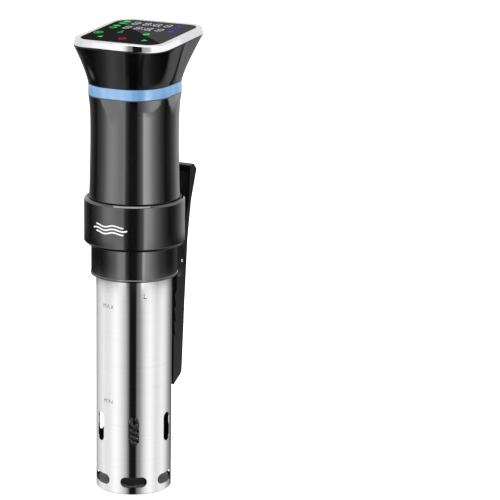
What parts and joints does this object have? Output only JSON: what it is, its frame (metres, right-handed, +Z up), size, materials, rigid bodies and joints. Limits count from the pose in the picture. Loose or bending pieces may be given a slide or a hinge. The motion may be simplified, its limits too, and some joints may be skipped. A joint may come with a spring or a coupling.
{
  "type": "sous vide circulator",
  "caption": "Stick-shaped water bath heater with a tilted square touch head, a light band, a sliding clamp ring and a slotted steel sleeve.",
  "frame": {"origin": "centre of the flat underside of the end cap, on the sleeve's axis", "axes": "+Z up along the sleeve to the touch head, -Y the front that the panel is read from, +Y the clamp side"},
  "size_m": [0.082, 0.1155, 0.3682],
  "materials": {
    "gloss_black": "high gloss moulded black plastic",
    "satin_black": "fine satin moulded black plastic",
    "black_glass": "opaque back-printed black touch panel with lit symbols",
    "chrome": "polished chrome",
    "brushed_steel": "stainless steel brushed round the axis",
    "plain_steel": "plain zinc-plated steel",
    "aluminium": "extruded aluminium",
    "brass": "plain brass",
    "blue_light": "translucent light blue diffuser",
    "circuit_board": "green circuit board with solder mask",
    "pale_plastic": "natural pale engineering plastic",
    "grey_rubber": "dark grey silicone rubber"
  },
  "bodies": {
    "housing": {"touch_glass": "black_glass", "bezel_ring": "chrome", "glass_gasket": "grey_rubber", "display_board": "circuit_board", "display_module": "satin_black", "buzzer": "satin_black", "touch_spring_1": "brass", "touch_spring_2": "brass", "touch_spring_3": "brass", "touch_spring_4": "brass", "panel_frame": "satin_black", "board_screw_1": "plain_steel", "board_screw_2": "plain_steel", "head_shell": "gloss_black", "light_ring": "blue_light", "lamp_board": "circuit_board", "grip_shell": "gloss_black", "cord_gland": "satin_black", "gland_nut": "satin_black", "main_board": "circuit_board", "transformer": "pale_plastic", "relay": "satin_black", "terminal_block": "pale_plastic", "capacitor": "satin_black", "heat_sink": "aluminium", "base_collar": "gloss_black", "motor_mount": "plain_steel", "motor": "plain_steel", "motor_screw_1": "plain_steel", "motor_screw_2": "plain_steel", "heater_base": "brushed_steel", "base_screw_1": "plain_steel", "base_screw_2": "plain_steel", "base_screw_3": "plain_steel", "base_seal": "grey_rubber", "sleeve_o_ring": "grey_rubber", "shaft_seal": "grey_rubber", "shaft_tube": "brushed_steel", "lower_bush": "pale_plastic", "heater_coil": "brushed_steel", "temp_probe": "brushed_steel", "level_probe_long": "brushed_steel", "level_probe_short": "brushed_steel"},
    "rotor": {"motor_shaft": "plain_steel", "shaft_coupling": "brass", "drive_shaft": "plain_steel", "impeller": "satin_black"},
    "sleeve": {"sleeve": "brushed_steel", "sleeve_stud": "chrome", "end_cap": "satin_black"},
    "slide_bush": {"grip_bush": "satin_black"},
    "ring": {"clamp_ring": "gloss_black", "clip_bracket": "gloss_black", "bracket_screw_1": "plain_steel", "bracket_screw_2": "plain_steel", "clip_pin": "chrome", "clip_spring": "plain_steel"},
    "lever": {"clip_lever": "satin_black"}
  },
  "joints": [
    {"name": "rotor_spin", "type": "hinge", "parent": "housing", "child": "rotor", "pos_m": [0, 0, 0.02], "axis": [0, 0, 1], "continuous": true},
    {"name": "sleeve_pull", "type": "slide", "parent": "housing", "child": "sleeve", "axis": [0, 0, -1], "range_m": [0, 0.2]},
    {"name": "ring_slide", "type": "slide", "parent": "housing", "child": "slide_bush", "axis": [0, 0, -1], "range_m": [0, 0.015]},
    {"name": "ring_swivel", "type": "hinge", "parent": "slide_bush", "child": "ring", "pos_m": [0, 0, 0.218], "axis": [0, 0, 1], "continuous": true},
    {"name": "clip_squeeze", "type": "hinge", "parent": "ring", "child": "lever", "pos_m": [0, 0.0475, 0.176], "axis": [1, 0, 0], "range_deg": [0, 15], "stiffness_Nm_per_rad": 3, "springref_deg": -11.46, "deforming": ["clip_spring"]}
  ]
}
